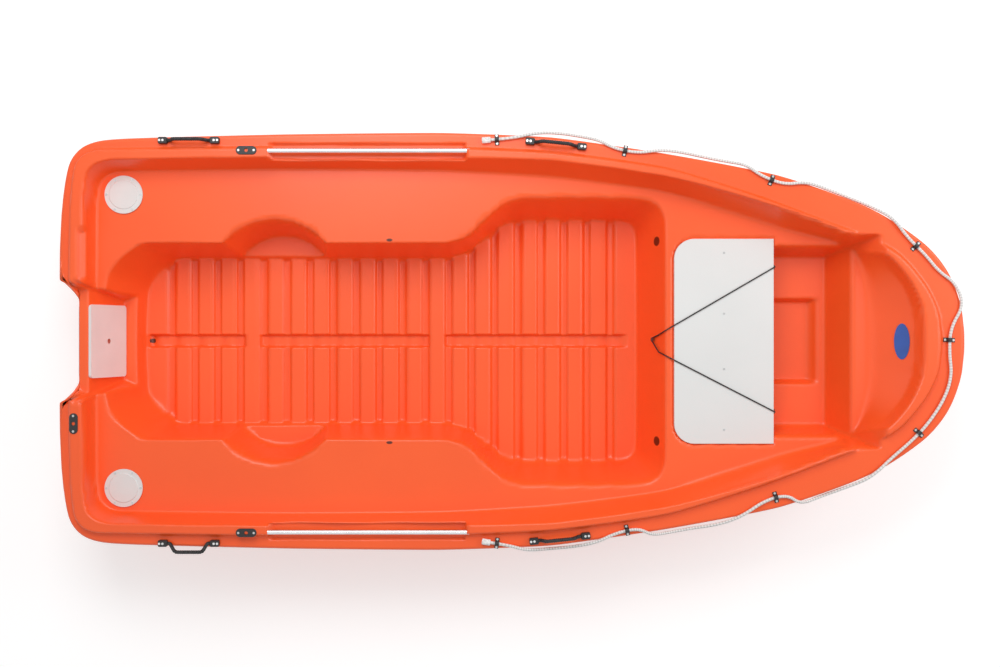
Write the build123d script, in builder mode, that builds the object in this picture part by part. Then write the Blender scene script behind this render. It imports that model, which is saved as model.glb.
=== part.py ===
"""Rotomoulded double-skinned open boat with benches, a ribbed sole, a bow locker and its fittings.

Frame: millimetres, +X towards the bow, +Y to port, +Z up. The origin is on the centreline, halfway
along the boat, at the height of the surface that the keel stands on.
"""

import os
from math import cos, radians, sin, tan

from build123d import *

# Overall sizes
length = 3500.0
beam = 1632.0
skin = 5.0
half_length = length / 2
half_beam = beam / 2
running = 0.05
play = 0.3
past = 1.0
clear_over = 300.0

# Levels above the ground
sole_level = 150.0
groove_depth = 18.0
shelf_level = 215.0
bench_level = 400.0
transom_level = 430.0
band_level = 484.0
crown_rise = 30.0
bow_rise = 82.0
sheer_start = -300.0
sheer_stations = (sheer_start, 340.0, 750.0, 1100.0, 1400.0, 1600.0, 1800.0)
locker_level = 215.0
locker_step = 40.0
niche_level = 172.0
crown_level = band_level + crown_rise

# Hull below the gunwale
side_lean = 120.0
turn_level = band_level - 46.0
turn_rise = 14.0
turn_inset = 10.0
keel_half = 45.0
keel_depth = 60.0
tunnel_rise = 78.0
bow_rocker = 330.0
rocker_start = 500.0

# Plan curves, as shares of half the length and of half the beam, from the stern round to the bow
gunwale_plan = [(-1.0, 0.47), (-0.982, 0.83), (-0.945, 0.937), (-0.86, 0.972), (-0.5, 0.993),
                (-0.15, 1.0), (0.1, 0.977), (0.35, 0.898), (0.6, 0.79), (0.79, 0.64), (0.905, 0.482),
                (0.96, 0.35), (0.99, 0.2), (1.0, 0.07)]
crown_outer_plan = [(-0.977, 0.45), (-0.966, 0.82), (-0.935, 0.905), (-0.86, 0.922), (-0.5, 0.932),
                    (-0.15, 0.93), (0.1, 0.906), (0.35, 0.828), (0.55, 0.695), (0.72, 0.555), (0.845, 0.435),
                    (0.905, 0.3), (0.938, 0.17), (0.948, 0.06)]
coaming_top_plan = [(-0.944, 0.45), (-0.936, 0.785), (-0.908, 0.852), (-0.84, 0.868), (-0.5, 0.876),
                    (-0.15, 0.874), (0.1, 0.86), (0.35, 0.78), (0.52, 0.68), (0.68, 0.56), (0.815, 0.42),
                    (0.868, 0.3), (0.895, 0.18), (0.901, 0.1)]
coaming_foot_plan = [(-0.936, 0.45), (-0.929, 0.755), (-0.902, 0.82), (-0.84, 0.832), (-0.5, 0.842),
                     (-0.15, 0.836), (0.1, 0.805), (0.35, 0.735), (0.5, 0.638), (0.62, 0.558), (0.745, 0.49),
                     (0.79, 0.44), (0.818, 0.28), (0.826, 0.13)]

# Sole well
well_rim_half = 392.0
well_foot_half = 350.0
well_bow_rim = 628.0
well_bow_foot = 545.0
well_wide_rim = 570.0
well_wide_foot = 508.0
well_stern_foot = -1508.0
well_neck_rim = 247.0
well_neck_foot = 205.0
well_stern_rim = -1655.0
well_shoulder = -1420.0
well_waist = -240.0
well_flare = 10.0
well_foot_corner = 70.0
well_rim_corner = 90.0
sole_corner = 64.0
well_bow_taper = 45.0
well_rim_lap = 60.0
side_corner_share = 1.6

# Half-round niches in the bench fronts
niche_x = -930.0
niche_y = 217.0
niche_foot_radius = 222.0
niche_rim_radius = 268.0

# Slats of the sole
slat_count = 21
slat_pitch = 97.2
slat_width = 67.0
first_slat = -1494.0
land_slats = (4, 12)
channel_half = 25.0
channel_depth = 34.0
sole_margin = 6.0

# Motor well and transom
transom_rake = 17.3
transom_foot = -1589.0
transom_half = 165.0
transom_outer_top = -1692.0
notch_half = 205.0
notch_flare = 12.0
notch_bow_end = 210.0
notch_reach = 150.0
quarter_drop = 50.0
shelf_lap = 20.0
motor_well_over = 60.0
shelf_bow_flare = 45.0
shelf_side_flare = 60.0
pad_width = 292.0
pad_height = 222.0
pad_thickness = 12.0
pad_radius = 14.0
bolt_radius = 5.0
bolt_head = 10.0
bolt_head_height = 3.0
bolt_sink = 0.5
nut_radius = 9.2
nut_height = 8.0

# Bow locker and its lid
locker_stern_rim = 692.0
locker_bow_rim = 1372.0
locker_half_rim = 381.0
locker_draft = 34.0
locker_bow_draft = 66.0
trough_half = 168.0
trough_margin = 90.0
trough_shift = 20.0
locker_corner = 40.0
lid_stern = 664.0
lid_bow = 1060.0
lid_half = 408.0
lid_radius = 80.0
lid_thickness = 15.0
lid_clearance = 3.0
rebate_depth = 13.0

# Pockets and holes
stern_pocket = (-1666.0, -1612.0, 238.0, 439.0)
pocket_depth = 30.0
conduit_y = 404.0
conduit_z = 330.0
conduit_radius = 19.0
conduit_depth = 60.0
wall_reach = 40.0
drain_radius = 12.0
drain_bore = 9.0
drain_z = 130.0

# Hatches
hatch_x = -1525.0
hatch_y = 583.0
hatch_hole = 58.0
hatch_radius = 75.5
hatch_thickness = 5.0
hatch_dome = 2.5
hatch_circle = 68.0
hatch_screws = 6
hatch_screw_depth = 20.0
gasket_thickness = 1.5
gasket_width = 12.0

# Grab rails
rail_y = 741.0
rail_stern = -923.0
rail_bow = -161.0
rail_radius = 9.5
rail_grip = 30.0
rail_drop = 13.0
rail_let_in = 14.0
rail_recess_half = 34.0
rail_end_chamfer = 1.0

# Rowlock sockets
socket_length = 80.0
socket_width = 33.0
socket_thickness = 4.0
socket_bore = 7.0
socket_neck = 11.0
socket_depth = 60.0
socket_screws = 60.0
socket_edge = 1.2
socket_screw_depth = 20.0
sockets = {"socket_port": (-1012.0, 741.0, 0.0), "socket_starboard": (-1012.0, -741.0, 0.0),
           "socket_stern": (-1681.0, -318.0, 90.0)}

# Carrying handles: middle, heading of the axis and how far the grip lies over at rest
handles = {"port_stern": (-1241.0, 783.0, 0.0, 0.0), "port_bow": (189.0, 768.0, -6.0, 0.0),
           "starboard_stern": (-1241.0, -786.0, 0.0, 85.0), "starboard_bow": (204.0, -766.0, 6.0, 0.0)}
handle_length = 238.0
handle_cap = 36.0
handle_cap_width = 26.0
handle_cap_height = 17.0
handle_cap_corner = 6.0
handle_cap_edge = 2.0
handle_pin = 4.0
handle_pin_length = 12.0
handle_axis = 9.5
handle_grip = 7.5
handle_rise = 34.0
handle_shoulder = 30.0
handle_screw_pitch = 13.0
handle_screw_end = 6.5
grip_run_in = 10.0
grip_end_radius = 9.0
grip_top_radius = 20.0

# Lifeline: rope, clips along the gunwale and knots
rope_radius = 6.0
clip_bore = 7.0
clip_wall = 3.0
clip_width = 16.0
clip_foot = 11.0
clip_lift = 1.4
clip_screw_depth = 14.0
clips = [(-41.0, 786.0, 4.0), (457.0, 741.0, -12.0), (1021.0, 624.0, -22.4), (1566.0, 366.0, -44.6),
         (1690.5, 6.5, -93.0), (1577.0, -350.0, -133.2), (1037.0, -602.0, -165.0), (465.0, -734.0, -168.0),
         (-41.0, -786.0, 172.0)]
rope_route = [
    (-66, 784.3, 495.6), (20, 790.3, 496), (110, 812, 499), (205, 815, 471), (290, 803, 463), (360, 782, 499),
    (412, 750.6, 504), (505, 730.8, 505.5), (590, 743, 513), (680, 738, 487), (765, 721, 476), (850, 702, 487),
    (925, 684, 521), (975, 643, 525), (1067, 605, 529), (1150, 616, 538), (1240, 590, 512), (1330, 556, 506),
    (1415, 520, 513), (1480, 473, 560), (1531, 400.5, 559), (1600, 332.5, 563), (1650, 268, 566), (1712, 224, 572),
    (1744, 140, 573), (1693, 54, 569.7), (1688, -41, 569.7), (1698, -130, 571), (1670, -220, 569), (1608, -317, 563.8),
    (1546, -383, 559), (1475, -445, 555), (1395, -522, 555), (1305, -566, 519), (1215, -601, 505), (1130, -628, 532),
    (1080.5, -590.3, 530), (993.5, -613.7, 526), (905, -676, 526), (815, -711, 508), (720, -728, 484),
    (630, -744, 489), (560, -751, 509), (509, -724.6, 505.6), (421, -743.4, 503), (345, -781, 506), (255, -803, 475),
    (160, -813, 463), (75, -813, 498), (4, -792.3, 496), (-66, -782.5, 495.6)]
knot_length = 34.0
knot_radius = 12.0
knot_edge = 4.0

# Elastic cord over the lid, its peg and its anchors
bungee_radius = 2.5
bungee_lift = 2.8
bungee_x = 1064.5
bungee_port = 296.0
bungee_starboard = -281.0
peg_x = 596.0
peg_y = 6.0
peg_head = 9.0
peg_head_height = 6.5
peg_shank = 2.2
peg_head_thickness = 2.5
peg_depth = 10.0
anchor_length = 29.0
anchor_width = 18.0
anchor_thickness = 8.0
anchor_lap = 2.0
anchor_step = 12.0
batten_width = 40.0
batten_thickness = 18.0
batten_length = 736.0
batten_x = 862.0
lid_screws = (-352.0, -110.0, 110.0, 352.0)
lid_edge = 1.5

# Screws
screw_head = 4.5
screw_shank = 2.0
screw_length = 12.0
screw_rise = 1.6

# Drain and badge
bung_head = 14.0
bung_thickness = 5.0
bung_length = 24.0
badge_length = 140.0
badge_width = 61.0
badge_x = 1540.0
badge_thickness = 2.0


def keel_height(x):
    """Height of the keel line, which rises towards the bow."""
    share = max(0.0, (x - rocker_start) / (half_length - rocker_start))
    return bow_rocker * share**2.6


def sheer_rise(x):
    """How much higher the crown and the band stand at x than amidships."""
    share = max(0.0, (x - sheer_start) / (half_length - sheer_start))
    return bow_rise * share**2


def plan_points(points, inset=0.0):
    """Corners inside a plan curve, port side from stern to bow, moved inwards by inset across every edge."""
    port = [(x * half_length, y * half_beam) for x, y in points]
    ring = [(port[0][0], -port[0][1])] + port + [(port[-1][0], -port[-1][1])]
    moved = []
    for before, here, after in zip(ring, ring[1:], ring[2:]):
        run_in = Vector(here[0] - before[0], here[1] - before[1]).normalized()
        run_out = Vector(after[0] - here[0], after[1] - here[1]).normalized()
        normal_in = Vector(run_in.Y, -run_in.X)
        normal_out = Vector(run_out.Y, -run_out.X)
        shift = (normal_in + normal_out) * (inset / (1 + normal_in.dot(normal_out)))
        moved.append((here[0] + shift.X, here[1] + shift.Y))
    return moved


def plan_face(points, level, inset=0.0):
    """Flat face inside a plan curve at a level, drawn in by inset all round."""
    port = plan_points(points, inset)
    with BuildSketch(Plane.XY.offset(level)) as face:
        with BuildLine():
            Polyline(*port, *[(x, -y) for x, y in reversed(port)], close=True)
        make_face()
    return face.sketch


def above_sheer(level, top=1000.0):
    """Everything above the sheer line that passes through level amidships."""
    end = sheer_stations[-1]
    with BuildPart() as space:
        with BuildSketch(Plane.XZ.offset(-beam)):
            with BuildLine():
                Polyline((-end, level), *[(x, level + sheer_rise(x)) for x in sheer_stations], (end, top), (-end, top),
                         close=True)
            make_face()
        extrude(amount=2 * beam)
    return space.part


def bottom_section(x, raised):
    """Cross-section of the three-keeled bottom at x, closed well above the gunwale."""
    keel = keel_height(x) + raised
    tunnel = keel + tunnel_rise
    top = 900.0
    wide = half_beam + 80.0
    half = [(keel_half, keel), (half_beam * 0.3, keel + keel_depth), (half_beam * 0.46, tunnel),
            (half_beam * 0.58, tunnel), (half_beam * 0.7, keel), (half_beam * 0.82, keel), (wide, keel + 150.0),
            (wide, top)]
    mirrored = [(-y, z) for y, z in reversed(half)]
    with BuildSketch(Plane.YZ.offset(x)) as section:
        with BuildLine():
            Polyline(*half, *mirrored, close=True)
        make_face()
    return section.sketch


def bottom_form(raised):
    """Solid above the bottom surface."""
    stations = [-half_length - 20, rocker_start, 850, 1100, 1350, 1600, half_length + 40]
    sections = [bottom_section(x, raised) for x in stations]
    with BuildPart() as form:
        loft(sections, ruled=True)
    return form.part


def hull_form(inset):
    """Outside of the hull without its hollows, drawn in by inset all round."""
    bottom = bottom_form(inset)
    over_band = above_sheer(band_level - inset)
    over_crown = above_sheer(crown_level - inset)
    with BuildPart() as crown:
        extrude(plan_face(crown_outer_plan, turn_level, inset), amount=clear_over)
        add(over_crown, mode=Mode.SUBTRACT)
    with BuildPart() as form:
        loft([plan_face(gunwale_plan, 0.0, inset + turn_inset + side_lean),
              plan_face(gunwale_plan, turn_level, inset + turn_inset)], ruled=True)
        loft([plan_face(gunwale_plan, turn_level, inset + turn_inset),
              plan_face(gunwale_plan, turn_level + turn_rise, inset)], ruled=True)
        extrude(plan_face(gunwale_plan, turn_level + turn_rise, inset), amount=clear_over)
        add(over_band, mode=Mode.SUBTRACT)
        add(bottom, mode=Mode.INTERSECT)
        add(crown.part)
    return form.part


def well_face(level, half, neck, bow, wide, stern, corner, outset):
    """Outline of the sole well at a level: a neck aft, a waist along the benches and a wide bow end."""
    half, neck, wide = half + outset, neck + outset, wide + outset
    bow, stern = bow + outset, stern - outset
    port = [(stern, neck), (well_shoulder, half), (well_waist, half), (well_flare, wide), (bow, wide - well_bow_taper)]
    starboard = [(x, -y) for x, y in reversed(port)]
    with BuildSketch(Plane.XY.offset(level)) as face:
        with BuildLine():
            Polyline(*port, *starboard, close=True)
        make_face()
        fillet(face.vertices().filter_by(lambda v: stern + past < v.X < well_flare + past), corner * side_corner_share)
        fillet(face.vertices().filter_by(lambda v: v.X > bow - past), corner)
    return face.sketch


def well_form(outset):
    """Hollow of the sole well, up past the bench tops."""
    foot = well_face(sole_level - outset, well_foot_half, well_neck_foot, well_bow_foot, well_wide_foot,
                     well_stern_foot, well_foot_corner, outset)
    rim = well_face(bench_level + past, well_rim_half, well_neck_rim, well_bow_rim, well_wide_rim,
                    well_stern_rim + well_rim_lap, well_rim_corner, outset)
    with BuildPart() as form:
        loft([foot, rim], ruled=True)
        for side in (-1, 1):
            with BuildSketch(Plane.XY.offset(niche_level - outset)):
                with Locations((niche_x, side * niche_y)):
                    Circle(niche_foot_radius + outset)
            with BuildSketch(Plane.XY.offset(bench_level + past)):
                with Locations((niche_x, side * niche_y)):
                    Circle(niche_rim_radius + outset)
            loft(ruled=True)
    return form.part


def motor_well_form(outset):
    """Hollow in front of the transom, with the transom's raked inner face as its stern wall."""
    rise = crown_level + motor_well_over - shelf_level
    rake_run = rise * tan(radians(transom_rake))
    shelf_bow = well_stern_foot + shelf_lap
    floor = [(transom_foot - outset, transom_half + outset), (shelf_bow, transom_half + outset)]
    rim = [(transom_foot - rake_run - outset, well_neck_rim + outset),
           (shelf_bow + shelf_bow_flare, well_neck_rim + shelf_side_flare + outset)]
    with BuildPart() as form:
        for level, port in ((shelf_level - outset, floor), (shelf_level + rise, rim)):
            starboard = [(x, -y) for x, y in reversed(port)]
            with BuildSketch(Plane.XY.offset(level)):
                with BuildLine():
                    Polyline(*port, *starboard, close=True)
                make_face()
        loft(ruled=True)
    return form.part


def coaming_form(outset):
    """Hollow above the benches, inside the coaming."""
    with BuildPart() as form:
        loft([plan_face(coaming_foot_plan, bench_level - outset, -outset),
              plan_face(coaming_top_plan, crown_level, -outset)], ruled=True)
        extrude(plan_face(coaming_top_plan, crown_level, -outset), amount=clear_over)
    return form.part


def locker_form(outset):
    """Hollow of the bow locker."""
    stern, bow, half = locker_stern_rim, locker_bow_rim, locker_half_rim
    with BuildPart() as form:
        for level, inset_sides, inset_bow in ((locker_level + locker_step - outset, locker_draft, locker_bow_draft),
                                              (bench_level + past, 0.0, 0.0)):
            with BuildSketch(Plane.XY.offset(level)):
                with Locations(((stern + inset_sides + bow - inset_bow) / 2, 0)):
                    RectangleRounded(bow - stern - inset_sides - inset_bow + 2 * outset,
                                     2 * (half - inset_sides + outset), locker_corner)
        loft(ruled=True)
        with BuildSketch(Plane.XY.offset(locker_level - outset)):
            with Locations(((stern + bow) / 2 - trough_shift, 0)):
                Rectangle(bow - stern - 2 * trough_margin + 2 * outset, 2 * (trough_half + outset))
        extrude(amount=locker_step + past)
    return form.part


def notch_form(outset):
    """Space above the low transom and behind it, between the two stern quarters."""
    with BuildPart() as form:
        with BuildSketch(Plane.XY.offset(transom_level - outset)):
            with Locations((-half_length + notch_bow_end - notch_reach, 0)):
                Rectangle(2 * (notch_reach + outset), 2 * (notch_half + outset))
        extrude(amount=clear_over, taper=-notch_flare)
        with BuildSketch(Plane.XZ.offset(-notch_half - outset)):
            with BuildLine():
                top = transom_outer_top + outset
                behind = -half_length - notch_reach
                above = transom_level + clear_over
                run = (transom_level + quarter_drop) * tan(radians(transom_rake))
                Polyline((top, transom_level), (top + run, -quarter_drop), (behind, -quarter_drop),
                         (behind, above), (top, above), close=True)
            make_face()
        extrude(amount=2 * (notch_half + outset))
    return form.part


def groove_form(outset):
    """Grooves between the slats and the channel along the middle of the sole."""
    margin = sole_margin
    sole = well_face(sole_level - groove_depth - outset, well_foot_half - margin, well_neck_foot - margin,
                     well_bow_foot - 2 * margin, well_wide_foot - margin, well_stern_foot + margin, sole_corner,
                     outset)
    ends = [first_slat + index * slat_pitch + slat_width for index in range(slat_count - 1)]
    lands = [first_slat - 1.5 * margin] + [first_slat + index * slat_pitch for index in land_slats]
    stops = lands[1:] + [first_slat + (slat_count - 1) * slat_pitch + slat_width - 2 * margin]
    with BuildPart() as form:
        for left in ends:
            right = left + slat_pitch - slat_width
            with BuildSketch(Plane.XY.offset(sole_level - groove_depth - outset)):
                with Locations(((left + right) / 2, 0)):
                    Rectangle(right - left + 2 * outset, 2 * well_wide_foot)
            extrude(amount=groove_depth + outset + skin)
        extrude(sole, amount=groove_depth + outset + skin, mode=Mode.INTERSECT)
        for number, (land, stop) in enumerate(zip(lands, stops)):
            left = land if number == 0 else land + slat_width
            with BuildSketch(Plane.XY.offset(sole_level - channel_depth - outset)):
                with Locations(((left + stop) / 2, 0)):
                    Rectangle(stop - left + 2 * outset, 2 * (channel_half + outset))
            extrude(amount=channel_depth + outset + skin)
    return form.part


def recess_form(outset):
    """Lid seat, rail recesses, stern pocket and conduit holes."""
    recess_floor = crown_level - rail_drop - rail_grip - outset
    pocket_stern, pocket_bow, pocket_low, pocket_high = stern_pocket
    with BuildPart() as form:
        with BuildSketch(Plane.XY.offset(bench_level - rebate_depth - outset)):
            seat_length = lid_bow - lid_stern + 2 * (lid_clearance + outset)
            seat_width = 2 * (lid_half + lid_clearance + outset)
            with Locations(((lid_stern + lid_bow) / 2, 0)):
                RectangleRounded(seat_length, seat_width, lid_radius + lid_clearance + outset)
            with Locations(((lid_stern + lid_bow) / 2 + seat_length / 4, 0)):
                Rectangle(seat_length / 2, seat_width)
        extrude(amount=rebate_depth + outset + skin)
        for side in (-1, 1):
            with BuildSketch(Plane.XY.offset(recess_floor)):
                with Locations(((rail_stern + rail_bow) / 2, side * rail_y)):
                    Rectangle(rail_bow - rail_stern + 2 * outset, 2 * (rail_recess_half + outset))
            extrude(amount=clear_over)
            with BuildSketch(Plane.YZ.offset(well_bow_foot - past)):
                with Locations((side * conduit_y, conduit_z)):
                    Circle(conduit_radius + outset)
            extrude(amount=conduit_depth + wall_reach + outset)
        with BuildSketch(Plane.XY.offset(crown_level - pocket_depth - outset)):
            with Locations(((pocket_stern + pocket_bow) / 2, (pocket_low + pocket_high) / 2)):
                Rectangle(pocket_bow - pocket_stern + 2 * outset, pocket_high - pocket_low + 2 * outset)
        extrude(amount=clear_over)
    return form.part


def hollow_form(outset):
    """Every large hollow that is open from above or behind."""
    parts = [coaming_form(outset), well_form(outset), motor_well_form(outset), locker_form(outset),
             notch_form(outset), groove_form(outset), recess_form(outset)]
    with BuildPart() as form:
        for part in parts:
            add(part)
    return form.part


def sheer_height(x):
    """Height that the sheer line adds at x, with its straight stretches."""
    for near, far in zip(sheer_stations, sheer_stations[1:]):
        if near <= x <= far:
            share = (x - near) / (far - near)
            return sheer_rise(near) * (1 - share) + sheer_rise(far) * share
    return 0.0


def sheer_pitch(x):
    """Rise per unit of length of the sheer line's stretch at x."""
    for near, far in zip(sheer_stations, sheer_stations[1:]):
        if near <= x <= far:
            return (sheer_rise(far) - sheer_rise(near)) / (far - near)
    return 0.0


def top_plane(x, y, heading, level, lift=0.0):
    """Plane on the band or the crown at x and y, its own X turned by heading about the plane's normal."""
    pitch = sheer_pitch(x)
    normal = Vector(-pitch, 0, 1).normalized()
    ahead = Vector(cos(radians(heading)), sin(radians(heading)), 0)
    ahead = (ahead - normal * ahead.dot(normal)).normalized()
    place = Vector(x, y, level + sheer_height(x)) + normal * lift
    return Plane(origin=place, x_dir=ahead, z_dir=normal)


def screw(plane, x, y):
    """Pan-head screw that stands on a plane, as a solid in that plane's place."""
    with BuildPart(plane) as one:
        with Locations((x, y)):
            Cylinder(screw_head, screw_rise, align=(Align.CENTER, Align.CENTER, Align.MIN))
            Cylinder(screw_shank, screw_length, align=(Align.CENTER, Align.CENTER, Align.MAX))
    return one.part


def screw_hole(plane, x, y, depth=60.0):
    """Cutter for the hole of a screw, below a plane."""
    with BuildPart(plane) as hole:
        with Locations((x, y)):
            Cylinder(screw_shank + play, depth, align=(Align.CENTER, Align.CENTER, Align.MAX))
    return hole.part


def gather(solids):
    """One node made of several solids that don't touch."""
    return Compound(children=[Part(solid.wrapped) for group in solids for solid in group.solids()])


def publish(name, shape):
    """Label a finished piece and write it."""
    shape.label = name
    export_step(shape, f"parts/{name}.step")


os.makedirs("parts", exist_ok=True)
hull_cuts = []

# Hatches: gasket, domed cover and its ring of screws
hatch_sides = {"port": 1, "starboard": -1}
hatch_screw_solids = []
for side_name, side in hatch_sides.items():
    seat = Plane((hatch_x, side * hatch_y, bench_level))
    lid_plane = seat.offset(gasket_thickness + hatch_thickness)
    ring = [(hatch_circle * cos(radians(60 * index)), hatch_circle * sin(radians(60 * index)))
            for index in range(hatch_screws)]
    with BuildPart(seat) as gasket:
        Cylinder(hatch_radius - 1, gasket_thickness, align=(Align.CENTER, Align.CENTER, Align.MIN))
        Cylinder(hatch_radius - 1 - gasket_width, gasket_thickness, align=(Align.CENTER, Align.CENTER, Align.MIN),
                 mode=Mode.SUBTRACT)
        with Locations(*[(x, y, 0) for x, y in ring]):
            Cylinder(screw_shank + play, gasket_thickness, align=(Align.CENTER, Align.CENTER, Align.MIN),
                     mode=Mode.SUBTRACT)
    publish(f"hatch_gasket_{side_name}", gasket.part)
    with BuildPart() as cover:
        Cylinder(hatch_radius, hatch_thickness, align=(Align.CENTER, Align.CENTER, Align.MIN))
        with Locations((0, 0, hatch_thickness)):
            Cylinder(hatch_hole, hatch_dome, align=(Align.CENTER, Align.CENTER, Align.MIN))
        chamfer(cover.faces().sort_by(Axis.Z)[-1].edges(), hatch_dome - 0.5)
        with Locations(*[(x, y, 0) for x, y in ring]):
            Cylinder(screw_shank + play, 3 * hatch_thickness, mode=Mode.SUBTRACT)
    publish(f"hatch_cover_{side_name}", seat.offset(gasket_thickness).location * cover.part)
    for x, y in ring:
        hatch_screw_solids.append(screw(lid_plane, x, y))
        hull_cuts.append(screw_hole(seat, x, y, hatch_screw_depth))
    with BuildPart(seat) as opening:
        Cylinder(hatch_hole, 2 * wall_reach)
    hull_cuts.append(opening.part)
publish("hatch_screws", gather(hatch_screw_solids))

# Grab rails, let into the ends of their recesses
for side_name, side in hatch_sides.items():
    reach = rail_let_in
    for_rail = Plane(origin=(rail_stern - reach, side * rail_y, crown_level - rail_drop), z_dir=(1, 0, 0))
    with BuildPart(for_rail) as rail:
        Cylinder(rail_radius, rail_bow - rail_stern + 2 * reach, align=(Align.CENTER, Align.CENTER, Align.MIN))
        chamfer(rail.edges(), rail_end_chamfer)
    publish(f"rail_{side_name}", rail.part)
    with BuildPart(for_rail) as seat_bore:
        Cylinder(rail_radius + play / 2, rail_bow - rail_stern + 2 * reach,
                 align=(Align.CENTER, Align.CENTER, Align.MIN))
    hull_cuts.append(seat_bore.part)

# Rowlock sockets
socket_screw_solids = []
for name, (x, y, heading) in sockets.items():
    seat = top_plane(x, y, heading, crown_level)
    with BuildPart(seat) as socket:
        with BuildSketch(seat):
            SlotOverall(socket_length, socket_width)
        extrude(amount=socket_thickness)
        chamfer(socket.faces().sort_by(Axis.Z)[-1].edges(), socket_edge)
        Cylinder(socket_neck, socket_depth, align=(Align.CENTER, Align.CENTER, Align.MAX))
        Cylinder(socket_bore, 3 * socket_depth, mode=Mode.SUBTRACT)
        with Locations((-socket_screws / 2, 0), (socket_screws / 2, 0)):
            Cylinder(screw_shank + play, 3 * socket_thickness, mode=Mode.SUBTRACT)
    publish(name, socket.part)
    with BuildPart(seat) as neck_hole:
        Cylinder(socket_neck + play, wall_reach)
    hull_cuts.append(neck_hole.part)
    for place in (-socket_screws / 2, socket_screws / 2):
        socket_screw_solids.append(screw(seat.offset(socket_thickness), place, 0))
        hull_cuts.append(screw_hole(seat, place, 0, socket_screw_depth))
publish("socket_screws", gather(socket_screw_solids))

# Carrying handles: two caps each and a grip that swings between them
handle_screw_solids = []
for name, (x, y, heading, lean) in handles.items():
    seat = top_plane(x, y, heading, band_level)
    half_span = handle_length / 2 - handle_cap
    caps = []
    for end in (-1, 1):
        with BuildPart() as cap:
            with BuildSketch(Plane.XY):
                with Locations((end * (handle_length - handle_cap) / 2, 0)):
                    RectangleRounded(handle_cap, handle_cap_width, handle_cap_corner)
            extrude(amount=handle_cap_height)
            chamfer(cap.faces().sort_by(Axis.Z)[-1].edges(), handle_cap_edge)
            with BuildSketch(Plane.YZ.offset(end * (half_span - past))):
                with Locations((0, handle_axis)):
                    Circle(handle_pin + running)
            extrude(amount=end * (handle_pin_length + 2 * past), mode=Mode.SUBTRACT)
            for place in (0, 1):
                with Locations((end * (handle_length / 2 - handle_screw_end - place * handle_screw_pitch), 0)):
                    Cylinder(screw_shank + play, 3 * handle_cap_height, mode=Mode.SUBTRACT)
        caps.append(seat.location * cap.part)
        for place in (0, 1):
            along = end * (handle_length / 2 - handle_screw_end - place * handle_screw_pitch)
            handle_screw_solids.append(screw(seat.offset(handle_cap_height), along, 0))
    publish(f"handle_caps_{name}", gather(caps))
    route = [(-half_span + play, 0, 0), (-half_span + grip_run_in, 0, 0),
             (-half_span + handle_shoulder, 0, handle_rise), (half_span - handle_shoulder, 0, handle_rise),
             (half_span - grip_run_in, 0, 0), (half_span - play, 0, 0)]
    with BuildPart() as grip:
        with BuildLine() as path:
            FilletPolyline(*route, radius=[grip_end_radius, grip_top_radius, grip_top_radius, grip_end_radius])
        with BuildSketch(Plane(origin=route[0], z_dir=(1, 0, 0))):
            Circle(handle_grip)
        sweep()
        for end in (-1, 1):
            with BuildSketch(Plane.YZ.offset(end * (half_span - play))):
                Circle(handle_pin)
            extrude(amount=end * handle_pin_length)
    outboard = -lean if y > 0 else lean
    swing = Pos(0, 0, handle_axis) * Rot(outboard, 0, 0)
    publish(f"handle_grip_{name}", seat.location * swing * grip.part)
publish("handle_screws", gather(handle_screw_solids))

# Lifeline clips, with the two screws of each
clip_screw_solids = []
for index, (x, y, heading) in enumerate(clips):
    seat = top_plane(x, y, heading, band_level)
    outer = clip_bore + clip_wall
    middle = clip_lift + clip_bore
    with BuildPart() as clip:
        with BuildSketch(Plane.YZ.offset(-clip_width / 2)):
            with Locations((0, middle)):
                Circle(outer)
            with Locations((0, middle / 2)):
                Rectangle(2 * outer, middle)
            with Locations((0, clip_wall / 2)):
                Rectangle(2 * (outer + clip_foot), clip_wall)
            with Locations((0, middle)):
                Circle(clip_bore, mode=Mode.SUBTRACT)
            with Locations((0, -outer)):
                Rectangle(4 * outer, 2 * outer, mode=Mode.SUBTRACT)
        extrude(amount=clip_width)
        with Locations((0, outer + clip_foot / 2, 0), (0, -outer - clip_foot / 2, 0)):
            Cylinder(screw_shank + play, 3 * clip_wall, mode=Mode.SUBTRACT)
    publish(f"rope_clip_{index + 1}", seat.location * clip.part)
    for place in (outer + clip_foot / 2, -outer - clip_foot / 2):
        clip_screw_solids.append(screw(seat.offset(clip_wall), 0, place))
        hull_cuts.append(screw_hole(seat, 0, place, clip_screw_depth))
publish("clip_screws", gather(clip_screw_solids))

# Bow lid with its batten and screws
lid_seat_level = bench_level - rebate_depth
with BuildPart() as lid:
    with BuildSketch(Plane.XY.offset(lid_seat_level + play)):
        with BuildLine():
            Polyline((lid_bow, -lid_half), (lid_bow, lid_half), (lid_stern, lid_half), (lid_stern, -lid_half),
                     close=True)
        make_face()
    extrude(amount=lid_thickness)
    fillet(lid.edges().filter_by(Axis.Z).group_by(Axis.X)[0], lid_radius)
    chamfer(lid.faces().sort_by(Axis.Z)[-1].edges(), lid_edge)
    with Locations(*[(batten_x, y, lid_seat_level) for y in lid_screws]):
        Cylinder(screw_shank + play, 4 * lid_thickness, mode=Mode.SUBTRACT)
publish("lid", lid.part)
with BuildPart() as batten:
    with Locations((batten_x, 0, lid_seat_level + play)):
        Box(batten_width, batten_length, batten_thickness, align=(Align.CENTER, Align.CENTER, Align.MAX))
publish("lid_batten", batten.part)
lid_top = Plane.XY.offset(lid_seat_level + play + lid_thickness)
publish("lid_screws", gather([screw(lid_top, batten_x, y) for y in lid_screws]))

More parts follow.
